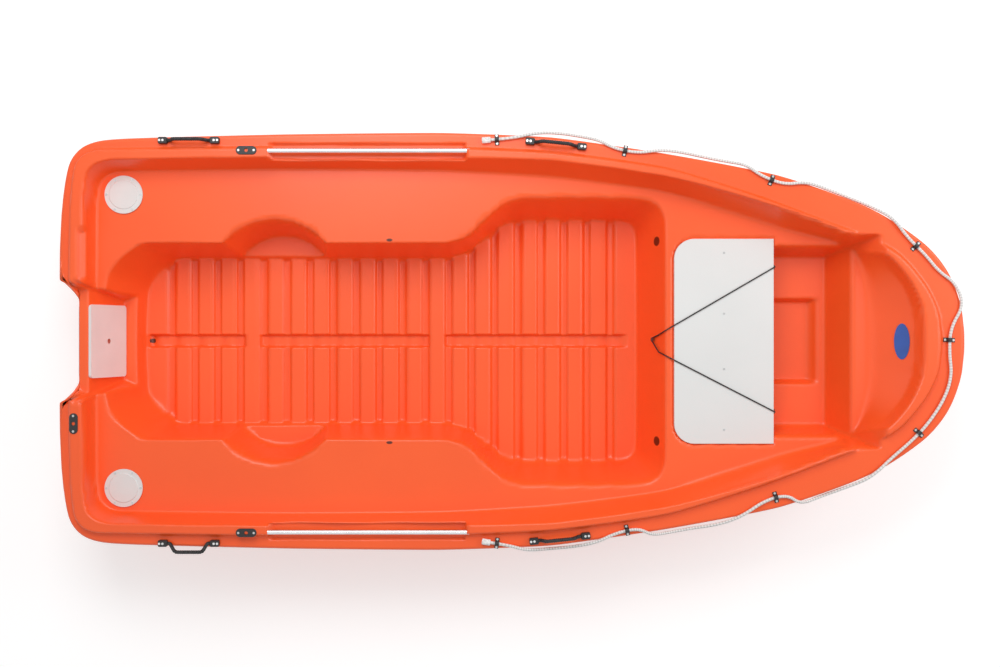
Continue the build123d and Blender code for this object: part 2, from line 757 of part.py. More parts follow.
# Anchors under the lid's bow edge, and the elastic cord from one round the peg to the other
lid_under = lid_seat_level + play
anchor_top = lid_under - anchor_thickness
anchors = []
for y in (bungee_port, bungee_starboard):
    with BuildPart() as anchor:
        with Locations((bungee_x + bungee_radius + anchor_lap, y, anchor_top)):
            Box(anchor_length, anchor_width, anchor_thickness, align=(Align.MAX, Align.CENTER, Align.MAX))
        with Locations((lid_bow - anchor_lap, y, anchor_top)):
            Box(anchor_length - anchor_step, anchor_width, anchor_thickness, align=(Align.MAX, Align.CENTER, Align.MIN))
    anchors.append(anchor.part)
publish("bungee_anchors", gather(anchors))

wall_run = well_bow_rim - well_bow_foot
wall_rise = bench_level + past - sole_level
wall_up = Vector(wall_run, 0, wall_rise).normalized()
wall_out = Vector(-wall_rise, 0, wall_run).normalized()


def on_bow_wall(x, y, out):
    """Point over the well's bow wall, off it by out."""
    foot = Vector(x, y, sole_level + wall_rise * (x - well_bow_foot) / wall_run)
    return foot + wall_out * out


cord_top = lid_under + lid_thickness + bungee_lift
loop_low = on_bow_wall(peg_x, peg_y, bungee_lift) - wall_up * 6.5
bungee_route = [
    Vector(bungee_x, bungee_port, anchor_top), Vector(bungee_x, bungee_port, cord_top + 0.5),
    Vector(627, 42, cord_top + 1), on_bow_wall(611, 25, bungee_lift), Vector(loop_low.X, peg_y + 7, loop_low.Z),
    Vector(loop_low.X, peg_y - 7, loop_low.Z), on_bow_wall(612, -44, bungee_lift), Vector(627, -56, cord_top + 1),
    Vector(bungee_x, bungee_starboard, cord_top + 0.5), Vector(bungee_x, bungee_starboard, anchor_top)]
with BuildPart() as bungee:
    with BuildLine() as path:
        FilletPolyline(*bungee_route, radius=[4.0, 9.0, 20.0, 5.2, 5.2, 20.0, 9.0, 4.0])
    with BuildSketch(Plane(origin=bungee_route[0], z_dir=(0, 0, 1))):
        Circle(bungee_radius)
    sweep()
publish("bungee", bungee.part)

peg_seat = Plane(origin=on_bow_wall(peg_x, peg_y, 0), x_dir=(0, 1, 0), z_dir=wall_out)
with BuildPart(peg_seat) as peg:
    Cylinder(peg_shank, peg_depth, align=(Align.CENTER, Align.CENTER, Align.MAX))
    Cylinder(peg_shank, peg_head_height, align=(Align.CENTER, Align.CENTER, Align.MIN))
    with Locations((0, 0, peg_head_height)):
        Cylinder(peg_head, peg_head_thickness, align=(Align.CENTER, Align.CENTER, Align.MIN))
publish("bungee_peg", peg.part)
with BuildPart(peg_seat) as peg_hole:
    Cylinder(peg_shank + play, 2 * peg_depth + 2 * past)
hull_cuts.append(peg_hole.part)

# Transom pads, with the bolt that holds both
rake = radians(transom_rake)
inner_up = Vector(-sin(rake), 0, cos(rake))
inner_out = Vector(cos(rake), 0, sin(rake))
inner_middle = Vector(transom_foot, 0, shelf_level) + inner_up * (pad_height / 2 + 1.5)
wall_thickness = (-transom_outer_top + transom_foot - (transom_level - shelf_level) * tan(rake)) * cos(rake)
outer_middle = inner_middle - inner_out * wall_thickness
pad_faces = {"transom_pad_inner": (inner_middle, inner_out), "transom_pad_outer": (outer_middle, inner_out * -1)}
sinks = {"transom_pad_inner": (bolt_head + play, bolt_head_height + bolt_sink),
         "transom_pad_outer": (nut_radius + play, nut_height + bolt_sink)}
for name, (middle, facing) in pad_faces.items():
    sink_radius, sink_depth = sinks[name]
    pad_back = Plane(origin=middle, x_dir=(0, 1, 0), z_dir=facing)
    with BuildPart(pad_back) as pad:
        with BuildSketch(pad_back):
            RectangleRounded(pad_width, pad_height, pad_radius)
            Circle(bolt_radius + play, mode=Mode.SUBTRACT)
        extrude(amount=pad_thickness)
        with BuildSketch(pad_back.offset(pad_thickness)):
            Circle(sink_radius)
        extrude(amount=-sink_depth, mode=Mode.SUBTRACT)
    publish(name, pad.part)
bolt_seat = Plane(origin=inner_middle + inner_out * (pad_thickness - bolt_head_height - bolt_sink),
                  x_dir=(0, 1, 0), z_dir=inner_out)
nut_end = wall_thickness + 2 * pad_thickness - bolt_head_height - 2 * bolt_sink
with BuildPart(bolt_seat) as bolt:
    Cylinder(bolt_head, bolt_head_height, align=(Align.CENTER, Align.CENTER, Align.MIN))
    Cylinder(bolt_radius, nut_end, align=(Align.CENTER, Align.CENTER, Align.MAX))
publish("pad_bolt", bolt.part)
with BuildPart() as nut:
    with BuildSketch(bolt_seat.offset(-nut_end)):
        RegularPolygon(nut_radius, 6)
        Circle(bolt_radius + running, mode=Mode.SUBTRACT)
    extrude(amount=nut_height)
publish("pad_nut", nut.part)
with BuildPart(Plane(origin=inner_middle + inner_out * past, z_dir=inner_out)) as bolt_hole:
    Cylinder(bolt_radius + play, wall_thickness + 2 * past, align=(Align.CENTER, Align.CENTER, Align.MAX))
hull_cuts.append(bolt_hole.part)

# Drain from the channel's end through the transom, with its bung
drain_bow = first_slat - 10.0
outer_face = transom_outer_top + (transom_level - drain_z) * tan(rake)
drain_stern = outer_face + drain_radius * tan(rake) + 0.5
drain_axis = Plane(origin=(drain_stern, 0, drain_z), z_dir=(1, 0, 0))
with BuildPart(drain_axis) as tube:
    Cylinder(drain_radius, drain_bow - drain_stern, align=(Align.CENTER, Align.CENTER, Align.MIN))
    Cylinder(drain_bore, 3 * (drain_bow - drain_stern), mode=Mode.SUBTRACT)
publish("drain_tube", tube.part)
with BuildPart(Plane(origin=(outer_face - 20, 0, drain_z), z_dir=(1, 0, 0))) as drain_hole:
    Cylinder(drain_radius + play / 2, drain_bow + 6 - outer_face + 20, align=(Align.CENTER, Align.CENTER, Align.MIN))
hull_cuts.append(drain_hole.part)
head_seat = outer_face - bung_head * tan(rake) - play
with BuildPart(Plane(origin=(head_seat, 0, drain_z), z_dir=(1, 0, 0))) as bung:
    Cylinder(bung_head, bung_thickness, align=(Align.CENTER, Align.CENTER, Align.MAX))
    Cylinder(drain_bore - running, bung_length, align=(Align.CENTER, Align.CENTER, Align.MIN))
publish("drain_bung", bung.part)

# Plain oval badge on the bow end of the coaming
foot_x = coaming_foot_plan[-1][0] * half_length
top_x = coaming_top_plan[-1][0] * half_length
bow_slope = Vector(top_x - foot_x, 0, crown_level - bench_level)
badge_middle = Vector(foot_x, 0, bench_level) + bow_slope * ((badge_x - foot_x) / (top_x - foot_x))
bow_normal = Vector(-bow_slope.Z, 0, bow_slope.X).normalized()
with BuildPart() as badge:
    with BuildSketch(Plane(origin=badge_middle, x_dir=(0, 1, 0), z_dir=bow_normal)):
        Ellipse(badge_length / 2, badge_width / 2)
    extrude(amount=badge_thickness)
publish("badge", badge.part)

# Lifeline and the knots at its ends
route = [Vector(*point) for point in rope_route]
rope_radii = []
for before, here, after in zip(route, route[1:], route[2:]):
    turn = (here - before).get_angle(after - here)
    run = min((here - before).length, (after - here).length)
    rope_radii.append(0.45 * run / tan(radians(turn / 2)))
with BuildPart() as rope:
    with BuildLine() as path:
        FilletPolyline(*route, radius=rope_radii)
    with BuildSketch(Plane(origin=route[0], z_dir=route[1] - route[0])):
        Circle(rope_radius)
    sweep()
publish("lifeline", rope.part)
rope_ends = {"knot_port": (route[0], route[0] - route[1]), "knot_starboard": (route[-1], route[-1] - route[-2])}
for name, (end, ahead) in rope_ends.items():
    with BuildPart() as knot:
        with BuildSketch(Plane(origin=end, x_dir=Vector(0, 0, 1).cross(ahead), z_dir=ahead)):
            Ellipse(knot_radius, clip_lift + clip_bore - play)
        extrude(amount=knot_length)
        fillet(knot.edges(), knot_edge)
    publish(name, knot.part)

# Hull, hollow between its outside and its inside
shell = hull_form(0) - hollow_form(0)
void = hull_form(skin) - hollow_form(skin)
shell = shell - void
shell = shell - Compound(children=[Part(cut.wrapped) for cut in hull_cuts])
publish("hull", shell)
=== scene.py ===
"""Looks of a rotomoulded open boat: smooth hull, ribbed handles, lifeline and finishes for every fitting."""

from math import cos, pi, radians, sin, tan

import bmesh
import bpy
import numpy as np
from mathutils import Matrix, Vector


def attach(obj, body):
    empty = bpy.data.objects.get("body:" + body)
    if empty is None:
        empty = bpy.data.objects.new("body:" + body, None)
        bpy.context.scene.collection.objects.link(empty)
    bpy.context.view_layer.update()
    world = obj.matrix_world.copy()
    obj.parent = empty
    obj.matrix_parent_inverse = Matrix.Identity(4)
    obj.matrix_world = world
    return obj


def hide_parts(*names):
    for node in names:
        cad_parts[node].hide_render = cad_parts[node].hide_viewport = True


bl_info = {
    "name": "Rotomoulded open boat",
    "version": (1, 0, 0),
    "blender": (4, 5, 0),
    "location": "View3D > Sidebar > Boat",
    "description": "Builds the visible surfaces of a small open boat around its fixed frame",
    "category": "Object",
}

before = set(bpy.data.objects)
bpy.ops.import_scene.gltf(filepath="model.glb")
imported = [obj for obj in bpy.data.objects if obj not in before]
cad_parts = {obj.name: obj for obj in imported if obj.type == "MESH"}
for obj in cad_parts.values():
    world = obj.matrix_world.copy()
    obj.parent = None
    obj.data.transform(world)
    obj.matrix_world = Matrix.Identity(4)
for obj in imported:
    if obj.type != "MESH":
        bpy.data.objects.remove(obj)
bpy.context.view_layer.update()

HALF_LENGTH = 1.75
HALF_BEAM = 0.816
SOLE = 0.150
SHELF = 0.215
BENCH = 0.400
TRANSOM = 0.430
BAND = 0.484
CROWN_RISE = 0.030
CROWN = BAND + CROWN_RISE
STEEP = 6.0
LIP_RADIUS = 0.012
CROWN_INSET = 0.005
CROWN_EDGE = 0.016
COAMING_RIM_ROUND = 0.014
COAMING_FOOT_ROUND = 0.022
LONG_SPAN = 0.25
LEAST_WALL_RUN = 0.004
BOW_RISE = 0.082
SHEER_START = -0.300

GUNWALE = [(-1.0, 0.47), (-0.982, 0.83), (-0.945, 0.937), (-0.86, 0.972), (-0.5, 0.993), (-0.15, 1.0),
           (0.1, 0.977), (0.35, 0.898), (0.6, 0.79), (0.79, 0.64), (0.905, 0.482), (0.96, 0.35),
           (0.99, 0.2), (1.0, 0.07)]
CROWN_OUTER = [(-0.977, 0.45), (-0.966, 0.82), (-0.935, 0.905), (-0.86, 0.922), (-0.5, 0.932),
               (-0.15, 0.93), (0.1, 0.906), (0.35, 0.828), (0.55, 0.695), (0.72, 0.555), (0.845, 0.435),
               (0.905, 0.3), (0.938, 0.17), (0.948, 0.06)]
COAMING_TOP = [(-0.944, 0.45), (-0.936, 0.785), (-0.908, 0.852), (-0.84, 0.868), (-0.5, 0.876),
               (-0.15, 0.874), (0.1, 0.86), (0.35, 0.78), (0.52, 0.68), (0.68, 0.56), (0.815, 0.42),
               (0.868, 0.3), (0.895, 0.18), (0.901, 0.1)]
COAMING_FOOT = [(-0.936, 0.45), (-0.929, 0.755), (-0.902, 0.82), (-0.84, 0.832), (-0.5, 0.842),
                (-0.15, 0.836), (0.1, 0.805), (0.35, 0.735), (0.5, 0.638), (0.62, 0.558), (0.745, 0.49),
                (0.79, 0.44), (0.818, 0.28), (0.826, 0.13)]

WELL_RIM = [(-1.595, 0.247), (-1.470, 0.382), (-1.385, 0.392), (-0.260, 0.392), (-0.16, 0.418),
            (-0.03, 0.535), (0.06, 0.570), (0.50, 0.570), (0.595, 0.545), (0.628, 0.470)]
WELL_FOOT = [(-1.508, 0.205), (-1.445, 0.300), (-1.385, 0.346), (-1.33, 0.350), (-0.275, 0.350),
             (-0.17, 0.376), (-0.05, 0.470), (0.04, 0.508), (0.46, 0.508), (0.525, 0.485), (0.545, 0.42)]
NICHE_X = -0.930
NICHE_Y = 0.217
NICHE_FOOT = 0.222
NICHE_RIM = 0.268
NICHE_LEVEL = 0.172
WELL_FOOT_ROUND = 0.02
WELL_RIM_ROUND = 0.016
NICHE_JOIN = 0.006

SLATS = 21
SLAT_PITCH = 0.0972
SLAT_WIDTH = 0.067
FIRST_SLAT = -1.494
LAND_SLATS = (4, 12)
GROOVE = 0.018
CHANNEL = 0.034
CHANNEL_HALF = 0.025
SADDLE = 0.010
SLAT_EDGE = 0.007
CHANNEL_EDGE = 0.008
GROOVE_END = 0.010
SOLE_MARGIN = 0.008
CHANNEL_STERN = 0.010
CHANNEL_BOW = 0.03

TRANSOM_FOOT = -1.589
TRANSOM_TOP = -1.692
TRANSOM_RAKE = tan(radians(17.3))
SHELF_BOW = -1.488
SHELF_HALF = 0.165
SHELF_SPREAD = 0.06
SHELF_RUN = 0.145
SHELF_LAP = 0.02
SHELF_SIDE_SLOPE = 4.4
SHELF_SIDE_ROUND = 0.03
SHELF_BOW_ROUND = 0.02
SHELF_FOOT_ROUND = 0.016
SHELF_RIM_ROUND = 0.014
NOTCH_HALF = 0.205
NOTCH_BOW = -1.54
NOTCH_SLOPE = 4.0
NOTCH_CORNER = 0.01
NOTCH_ROUND = 0.016
NOTCH_EDGE = 0.225
NOTCH_EDGE_WIDTH = 0.04
NOTCH_SHIFT_START = -1.60
NOTCH_SHIFT_RUN = 0.15

LOCKER = (0.692, 1.372, 0.381)
LOCKER_FLOOR = 0.255
LOCKER_STEP = 0.040
LOCKER_DRAFT = 0.034
LOCKER_SIDE_SLOPE = 4.3
LOCKER_BOW_DRAFT = 0.066
LOCKER_BOW_SLOPE = 2.2
LOCKER_CORNER = 0.03
LOCKER_FOOT_ROUND = 0.016
LOCKER_RIM_ROUND = 0.010
TROUGH_HALF = 0.168
TROUGH_STERN = 0.07
TROUGH_BOW = 0.11
TROUGH_EDGE = 0.020
LID_SEAT = (0.661, 1.063, 0.411)
LID_SEAT_LEVEL = 0.387
LID_CORNER = 0.083
LID_SEAT_ROUND = 0.004
RAIL_RECESS = (-0.923, -0.161, 0.707, 0.775)
RAIL_FLOOR = 0.471
STERN_POCKET = (-1.666, -1.612, 0.238, 0.439)
POCKET_FLOOR = 0.484
RECESS_EDGE = 0.004
RECESS_ROUND = 0.006

ROCKER_START = 0.500
BOW_ROCKER = 0.330
SPINE_END = 1.300
SIDE_LEAN = 0.272
BOTTOM_Y = [0.0, 0.045, 0.245, 0.375, 0.473, 0.571, 0.669, 0.896]
BOTTOM_Z = [0.0, 0.0, 0.060, 0.078, 0.078, 0.0, 0.0, 0.150]
BOTTOM_SHARE = 0.84
SIDE_STEPS = [(0.05, 0.0), (0.12, 1.0), (0.40, 1.0), (0.70, 1.0), (1.0, 1.0)]
BOTTOM_STEPS = [0.03, 0.17, 0.31, 0.455, 0.645, 0.935, 1.0]
WELD = 0.0004
LEAN_CHANGE = 0.25

# Painted shade in the hull's colour where holes would be dark, as middles and half sizes: conduits, bench
# slots and the drain
PAINTED_HOLE_SHADE = [((0.603, 0.404, 0.33), (0.014, 0.019, 0.030)), ((0.603, -0.404, 0.33), (0.014, 0.019, 0.030)),
               ((-0.469, 0.403, 0.40), (0.012, 0.006, 0.02)), ((-0.469, -0.403, 0.40), (0.012, 0.006, 0.02)),
               ((-1.497, 0.0, 0.125), (0.010, 0.010, 0.03))]

HANDLES = {"port_stern": (-1.241, 0.783, 0.0, 0.0), "port_bow": (0.189, 0.768, -6.0, 0.0),
           "starboard_stern": (-1.241, -0.786, 0.0, 85.0), "starboard_bow": (0.204, -0.766, 6.0, 0.0)}
HANDLE_AXIS = 0.0095
HANDLE_RISE = 0.034
HANDLE_SHOULDER = 0.030
HANDLE_HALF_SPAN = 0.083
HANDLE_PLAY = 0.0005
HANDLE_RUN_IN = 0.010
HANDLE_BENDS = (0.009, 0.020, 0.020, 0.009)
RIB_PITCH = 0.0085
RIB_LAP = 0.006
PLAIN_SHARE = 0.4

ROPE_ROUTE = [
    (-0.066, 0.7843, 0.4956), (0.02, 0.7903, 0.496), (0.11, 0.812, 0.499), (0.205, 0.815, 0.471),
    (0.29, 0.803, 0.463), (0.36, 0.782, 0.499), (0.412, 0.7506, 0.504), (0.505, 0.7308, 0.5055),
    (0.59, 0.743, 0.513), (0.68, 0.738, 0.487), (0.765, 0.721, 0.476), (0.85, 0.702, 0.487),
    (0.925, 0.684, 0.521), (0.975, 0.643, 0.525), (1.067, 0.605, 0.529), (1.15, 0.616, 0.538),
    (1.24, 0.59, 0.512), (1.33, 0.556, 0.506), (1.415, 0.52, 0.513), (1.48, 0.473, 0.56),
    (1.531, 0.4005, 0.559), (1.6, 0.3325, 0.563), (1.65, 0.268, 0.566), (1.712, 0.224, 0.572),
    (1.744, 0.14, 0.573), (1.693, 0.054, 0.5697), (1.688, -0.041, 0.5697), (1.698, -0.13, 0.571),
    (1.67, -0.22, 0.569), (1.608, -0.317, 0.5638), (1.546, -0.383, 0.559), (1.475, -0.445, 0.555),
    (1.395, -0.522, 0.555), (1.305, -0.566, 0.519), (1.215, -0.601, 0.505), (1.13, -0.628, 0.532),
    (1.0805, -0.5903, 0.53), (0.9935, -0.6137, 0.526), (0.905, -0.676, 0.526), (0.815, -0.711, 0.508),
    (0.72, -0.728, 0.484), (0.63, -0.744, 0.489), (0.56, -0.751, 0.509), (0.509, -0.7246, 0.5056),
    (0.421, -0.7434, 0.503), (0.345, -0.781, 0.506), (0.255, -0.803, 0.475), (0.16, -0.813, 0.463),
    (0.075, -0.813, 0.498), (0.004, -0.7923, 0.496), (-0.066, -0.7825, 0.4956)]
ROPE_LENGTH = 4.42
BRAID_PITCH = 0.022
BRAID_STRANDS = 4.0


class BoatHullSettings(bpy.types.PropertyGroup):
    """Sizes and colours of the moulded hull."""
    columns: bpy.props.IntProperty(name="Columns", description="Faces along the hull", default=350, min=60)
    rows: bpy.props.IntProperty(name="Rows", description="Faces across the hull", default=220, min=40)
    colour: bpy.props.FloatVectorProperty(name="Hull colour", description="Colour of the moulded plastic",
                                          default=(1.0, 0.115, 0.020), size=3, subtype="COLOR")
    roughness: bpy.props.FloatProperty(name="Hull roughness", description="Gloss of the moulded plastic",
                                       default=0.34, min=0.0, max=1.0, subtype="FACTOR")


class BoatFittingSettings(bpy.types.PropertyGroup):
    """Sizes and colours of the fittings."""
    grip_radius: bpy.props.FloatProperty(name="Grip radius", description="Radius of a carrying handle's grip",
                                         default=0.0078, min=0.002, unit="LENGTH")
    rib_depth: bpy.props.FloatProperty(name="Rib depth", description="Depth of the grip's ribs",
                                       default=0.0014, min=0.0, unit="LENGTH")
    rope_radius: bpy.props.FloatProperty(name="Rope radius", description="Radius of the lifeline",
                                         default=0.006, min=0.001, unit="LENGTH")
    white: bpy.props.FloatVectorProperty(name="White plastic", description="Colour of the lid and the pads",
                                         default=(0.74, 0.75, 0.74), size=3, subtype="COLOR")
    black: bpy.props.FloatVectorProperty(name="Black plastic", description="Colour of caps and clips",
                                         default=(0.012, 0.012, 0.013), size=3, subtype="COLOR")
    rope: bpy.props.FloatVectorProperty(name="Rope colour", description="Colour of the lifeline",
                                        default=(0.82, 0.81, 0.79), size=3, subtype="COLOR")
    badge: bpy.props.FloatVectorProperty(name="Badge colour", description="Colour of the plain oval plate",
                                         default=(0.03, 0.10, 0.42), size=3, subtype="COLOR")


class BoatStageSettings(bpy.types.PropertyGroup):
    """Light, floor and camera."""
    camera_height: bpy.props.FloatProperty(name="Camera height", description="Height above the floor",
                                           default=4.70, min=1.0, unit="LENGTH")
    lens: bpy.props.FloatProperty(name="Lens", description="Focal length in millimetres", default=38.9,
                                  min=10.0)
    lamp_power: bpy.props.FloatProperty(name="Lamp power", description="Power of the overhead lamp in watts",
                                        default=95.0, min=0.0)


def smooth_curve(points, steps=10):
    """Closed curve through plan points of the port side and their mirror images, in metres."""
    port = [Vector((x, y)) for x, y in points]
    ring = port + [Vector((p.x, -p.y)) for p in reversed(port)]
    count = len(ring)
    curve = []
    for index in range(count):
        before, here, after, beyond = (ring[(index + k) % count] for k in (-1, 0, 1, 2))
        span = (after - here).length
        into = (after - before).normalized() * span
        out = (beyond - here).normalized() * span
        straight = min(1.0, LONG_SPAN / span)
        for step in range(steps):
            t = step / steps
            h00, h10 = 2 * t**3 - 3 * t**2 + 1, t**3 - 2 * t**2 + t
            h01, h11 = -2 * t**3 + 3 * t**2, t**3 - t**2
            curve.append(here * h00 + into * (h10 * straight) + after * h01 + out * (h11 * straight))
    return np.array([(p.x, p.y) for p in curve])


def plan_curve(shares, steps=10):
    """Closed plan curve from shares of half the length and half the beam."""
    return smooth_curve([(x * HALF_LENGTH, y * HALF_BEAM) for x, y in shares], steps)


def inside_distance(curve, x, y):
    """Distance from the curve, positive inside it."""
    nearest = np.full(x.shape, 1e9)
    inside = np.zeros(x.shape, bool)
    for (ax, ay), (bx, by) in zip(curve, np.roll(curve, -1, axis=0)):
        dx, dy = bx - ax, by - ay
        length = max(dx * dx + dy * dy, 1e-12)
        t = np.clip(((x - ax) * dx + (y - ay) * dy) / length, 0, 1)
        nearest = np.minimum(nearest, (x - ax - t * dx)**2 + (y - ay - t * dy)**2)
        if abs(dy) > 1e-9:
            crosses = ((ay > y) != (by > y)) & (x < dx * (y - ay) / dy + ax)
            inside ^= crosses
    return np.where(inside, 1, -1) * np.sqrt(nearest)


def soft_max(a, b, radius):
    """Larger of two heights, with a rounded change between them."""
    lap = np.maximum(radius - np.abs(a - b), 0)
    return np.maximum(a, b) + lap**2 / (4 * radius)


def soft_min(a, b, radius):
    """Smaller of two heights, with a rounded change between them."""
    return -soft_max(-a, -b, radius)


def ramp(value, width):
    """Smooth change from 0 to 1 while value goes from minus to plus half the width."""
    t = np.clip(value / width + 0.5, 0, 1)
    return t * t * (3 - 2 * t)


def drafted(rim, foot, x, y, top, floor, radius):
    """Height of a hollow whose wall runs from one plan curve at its rim to another at its foot."""
    from_rim = inside_distance(rim, x, y)
    from_foot = inside_distance(foot, x, y)
    run = np.maximum(from_rim - from_foot, LEAST_WALL_RUN)
    wall = (top - floor) * (1 - from_rim / run) + STEEP * np.maximum(-from_rim, 0)
    return floor + soft_max(wall, 0 * wall, radius)


def box_inside(x, y, low_x, high_x, low_y, high_y):
    """Distance inside a box in plan, negative outside it."""
    return np.minimum(np.minimum(x - low_x, high_x - x), np.minimum(y - low_y, high_y - y))


def sheer(x):
    """How much higher the crown and the band stand towards the bow."""
    return BOW_RISE * np.maximum(0, (x - SHEER_START) / (HALF_LENGTH - SHEER_START))**2


def sole_height(x, y):
    """Sole with its slats, grooves and the channel along the middle."""
    place = (x - FIRST_SLAT) / SLAT_PITCH
    along = (place - np.floor(place)) * SLAT_PITCH
    in_groove = ramp(np.minimum(along - SLAT_WIDTH, SLAT_PITCH - along), SLAT_EDGE)
    inside = inside_distance(smooth_curve(WELL_FOOT), x, y)
    count = np.floor(place)
    groove = in_groove * ramp(inside - SOLE_MARGIN, GROOVE_END) * ((count >= 0) & (count < SLATS - 1))
    land = np.zeros(x.shape)
    for number in LAND_SLATS:
        low = FIRST_SLAT + number * SLAT_PITCH
        land = np.maximum(land, ramp(np.minimum(x - low, low + SLAT_WIDTH - x), SLAT_EDGE))
    end = FIRST_SLAT + (SLATS - 1) * SLAT_PITCH + SLAT_WIDTH - CHANNEL_BOW
    ends = ramp(np.minimum(x - FIRST_SLAT + CHANNEL_STERN, end - x), CHANNEL_EDGE)
    channel = ramp(CHANNEL_HALF - np.abs(y), CHANNEL_EDGE) * (1 - land) * ends
    saddle = 0.5 + 0.5 * np.cos(2 * pi * (along - SLAT_WIDTH / 2) / SLAT_PITCH)
    depth = CHANNEL - SADDLE * saddle
    return SOLE - np.maximum(GROOVE * groove, depth * channel)


def outer_top(x, y):
    """Band round the edge with its rounded lip, and the crown inside it."""
    edge = inside_distance(plan_curve(GUNWALE), x, y)
    crown = ramp(inside_distance(plan_curve(CROWN_OUTER), x, y) - CROWN_INSET, CROWN_EDGE)
    lip = np.clip(edge, 0, LIP_RADIUS)
    height = BAND + sheer(x) + CROWN_RISE * crown
    return height - LIP_RADIUS + np.sqrt(np.maximum(LIP_RADIUS**2 - (LIP_RADIUS - lip)**2, 0))


def transom_notch(x, side):
    """Low top of the transom between the two stern quarters."""
    notch = TRANSOM + soft_max((side - NOTCH_HALF) * NOTCH_SLOPE, (x - NOTCH_BOW) * NOTCH_SLOPE, NOTCH_CORNER)
    return soft_max(notch, np.full(x.shape, TRANSOM), NOTCH_ROUND)


def sole_well(x, y):
    """Well between the benches, with the half-round niches in its sides."""
    well = drafted(smooth_curve(WELL_RIM), smooth_curve(WELL_FOOT), x, y, BENCH, SOLE, WELL_FOOT_ROUND)
    well = well + sole_height(x, y) - SOLE
    reach = np.hypot(x - NICHE_X, np.abs(y) - NICHE_Y)
    wall = (reach - NICHE_FOOT) * (BENCH - NICHE_LEVEL) / (NICHE_RIM - NICHE_FOOT)
    niche = NICHE_LEVEL + soft_max(wall, 0 * reach, WELL_FOOT_ROUND)
    return soft_min(well, niche, NICHE_JOIN)


def motor_shelf(x, side):
    """Shelf in front of the transom, with the transom's raked inner face behind it."""
    stern_wall = (TRANSOM_FOOT - x) / TRANSOM_RAKE
    spread = SHELF_HALF + SHELF_SPREAD * np.clip((x - TRANSOM_FOOT) / SHELF_RUN, 0, 1)
    walls = soft_max(stern_wall, (side - spread) * SHELF_SIDE_SLOPE, SHELF_SIDE_ROUND)
    walls = soft_max(walls, (x - SHELF_BOW - SHELF_LAP) * STEEP, SHELF_BOW_ROUND)
    return SHELF + soft_max(walls, 0 * walls, SHELF_FOOT_ROUND)


def bow_locker(x, side):
    """Locker under the lid, with raised blocks beside its trough."""
    stern, bow, half = LOCKER
    sides = soft_max((side - half + LOCKER_DRAFT) * LOCKER_SIDE_SLOPE,
                     (stern + LOCKER_DRAFT - x) * LOCKER_SIDE_SLOPE, LOCKER_CORNER)
    sides = soft_max(sides, (x - bow + LOCKER_BOW_DRAFT) * LOCKER_BOW_SLOPE, LOCKER_CORNER)
    ends = np.minimum(x - stern - TROUGH_STERN, bow - TROUGH_BOW - x)
    trough = ramp(np.minimum(TROUGH_HALF - side, ends), TROUGH_EDGE)
    return LOCKER_FLOOR - LOCKER_STEP * trough + soft_max(sides, 0 * sides, LOCKER_FOOT_ROUND)


def lid_seat(x, side):
    """Shallow seat that the lid lies in, with round corners at its stern edge."""
    stern, bow, half = LID_SEAT
    corner_x = np.maximum(stern + LID_CORNER - x, 0)
    corner_y = np.maximum(side - half + LID_CORNER, 0)
    rounded = LID_CORNER - np.hypot(corner_x, corner_y)
    seat = np.minimum(box_inside(x, side, stern, bow, -1, half), rounded)
    return LID_SEAT_LEVEL + np.maximum(-seat, 0) * STEEP


def top_height(x, y):
    """Height of the boat's upper surface at points in plan."""
    side = np.abs(y)
    top, foot = plan_curve(COAMING_TOP), plan_curve(COAMING_FOOT)
    coaming = drafted(top, foot, x, y, CROWN, BENCH, COAMING_FOOT_ROUND)
    height = soft_min(outer_top(x, y), coaming, COAMING_RIM_ROUND)
    height = soft_min(height, transom_notch(x, side), NOTCH_ROUND)
    height = soft_min(height, sole_well(x, y), WELL_RIM_ROUND)
    height = soft_min(height, motor_shelf(x, side), SHELF_RIM_ROUND)
    height = soft_min(height, bow_locker(x, side), LOCKER_RIM_ROUND)
    height = soft_min(height, lid_seat(x, side), LID_SEAT_ROUND)
    for box, floor, across in ((RAIL_RECESS, RAIL_FLOOR, side), (STERN_POCKET, POCKET_FLOOR, y)):
        cut = box_inside(x, across, *box)
        height = soft_min(height, floor + np.maximum(RECESS_EDGE - cut, 0) * STEEP, RECESS_ROUND)
    return height


def bottom_height(x, y):
    """Height of the three-keeled bottom."""
    keel = BOW_ROCKER * np.maximum(0, (x - ROCKER_START) / (HALF_LENGTH - ROCKER_START))**2.6
    return keel + np.interp(np.abs(y), BOTTOM_Y, BOTTOM_Z)


def stations(count, low, high, dense):
    """Places from low to high, closer together in the dense stretches (low, high, weight)."""
    place = np.linspace(low, high, 4001)
    weight = np.ones(place.shape)
    for start, stop, extra in dense:
        weight[(place >= start) & (place <= stop)] += extra
    total = np.concatenate([[0], np.cumsum(0.5 * (weight[1:] + weight[:-1]))])
    return np.interp(np.linspace(0, total[-1], count + 1), total, place)


def hull_columns(count):
    """Places of the hull's columns, closer at the grooves, the stern, the lid seat and the bow."""
    dense = [(-1.75, -1.48, 1.6), (0.52, 0.70, 1.6), (1.03, 1.08, 1.5), (1.28, 1.75, 1.2)]
    for number in range(SLATS):
        start = FIRST_SLAT + number * SLAT_PITCH
        dense.append((start + SLAT_WIDTH - 0.007, start + SLAT_WIDTH + 0.009, 2.2))
        dense.append((start + SLAT_PITCH - 0.009, start + SLAT_PITCH + 0.007, 2.2))
    return stations(count, -HALF_LENGTH, HALF_LENGTH, dense)


def hull_rows(count):
    """Shares of the half beam of the hull's rows, closer at the crown, the bench fronts and the channel."""
    dense = []
    for sign in (-1, 1):
        for low, high, extra in ((0.80, 1.0, 2.0), (0.41, 0.51, 1.6), (0.015, 0.045, 2.5), (0.19, 0.30, 0.6)):
            dense.append((min(sign * low, sign * high), max(sign * low, sign * high), extra))
    return stations(count, -1.0, 1.0, dense)


